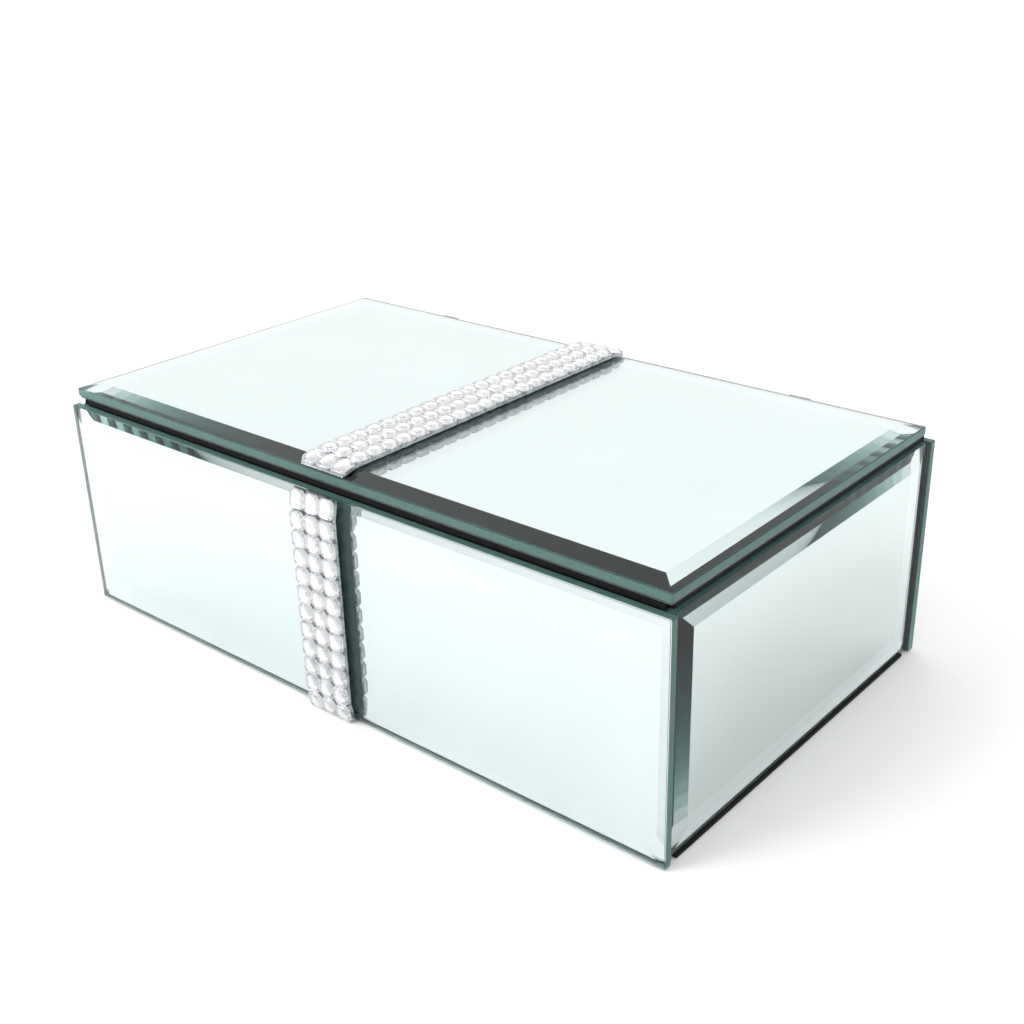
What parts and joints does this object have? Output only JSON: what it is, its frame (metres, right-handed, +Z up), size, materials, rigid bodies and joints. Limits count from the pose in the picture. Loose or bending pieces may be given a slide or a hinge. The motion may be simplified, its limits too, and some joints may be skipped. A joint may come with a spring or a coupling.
{
  "type": "mirrored trinket box",
  "caption": "Rectangular trinket box clad in bevelled mirror glass, with a hinged mirror lid, a velvet-lined compartment and a crystal band down the front and across the lid.",
  "frame": {"origin": "under the middle of the closed box, on the surface it stands on", "axes": "+X along the long front, to the right as seen from the front; +Y from the front to the hinges at the back; +Z up"},
  "size_m": [0.24, 0.1452, 0.0824],
  "materials": {
    "mirror_glass": "polished, bevelled edges",
    "silvering": "mirror silver with painted back",
    "black_board": "fibreboard wrapped in matt black paper",
    "velvet": "short-pile black velvet",
    "foot_felt": "black flocked sheet",
    "crystal": "clear faceted",
    "band_carrier": "silvered flexible strip",
    "hinge_steel": "nickel plated"
  },
  "bodies": {
    "case": {"foot_sheet": "foot_felt", "floor_board": "black_board", "floor_pad": "velvet", "mirror_glass_front": "mirror_glass", "silvering_front": "silvering", "wall_front": "black_board", "lining_front": "velvet", "mirror_glass_right": "mirror_glass", "silvering_right": "silvering", "wall_right": "black_board", "lining_right": "velvet", "mirror_glass_back": "mirror_glass", "silvering_back": "silvering", "wall_back": "black_board", "lining_back": "velvet", "mirror_glass_left": "mirror_glass", "silvering_left": "silvering", "wall_left": "black_board", "lining_left": "velvet", "band_carrier_front": "band_carrier", "crystals_front": "crystal", "hinge_lower_leaf_left": "hinge_steel", "hinge_pin_left": "hinge_steel", "screw_lower_left_1": "hinge_steel", "screw_lower_left_2": "hinge_steel", "hinge_lower_leaf_right": "hinge_steel", "hinge_pin_right": "hinge_steel", "screw_lower_right_1": "hinge_steel", "screw_lower_right_2": "hinge_steel"},
    "lid": {"lid_mirror_glass": "mirror_glass", "lid_silvering": "silvering", "lid_board": "black_board", "lid_pad": "velvet", "band_carrier_lid": "band_carrier", "crystals_lid": "crystal", "hinge_upper_leaf_left": "hinge_steel", "screw_upper_left_1": "hinge_steel", "screw_upper_left_2": "hinge_steel", "hinge_upper_leaf_right": "hinge_steel", "screw_upper_right_1": "hinge_steel", "screw_upper_right_2": "hinge_steel"}
  },
  "joints": [
    {"name": "lid_hinge", "type": "hinge", "parent": "case", "child": "lid", "pos_m": [0, 0.07, 0.0743], "axis": [-1, 0, 0], "range_deg": [0, 100]}
  ]
}
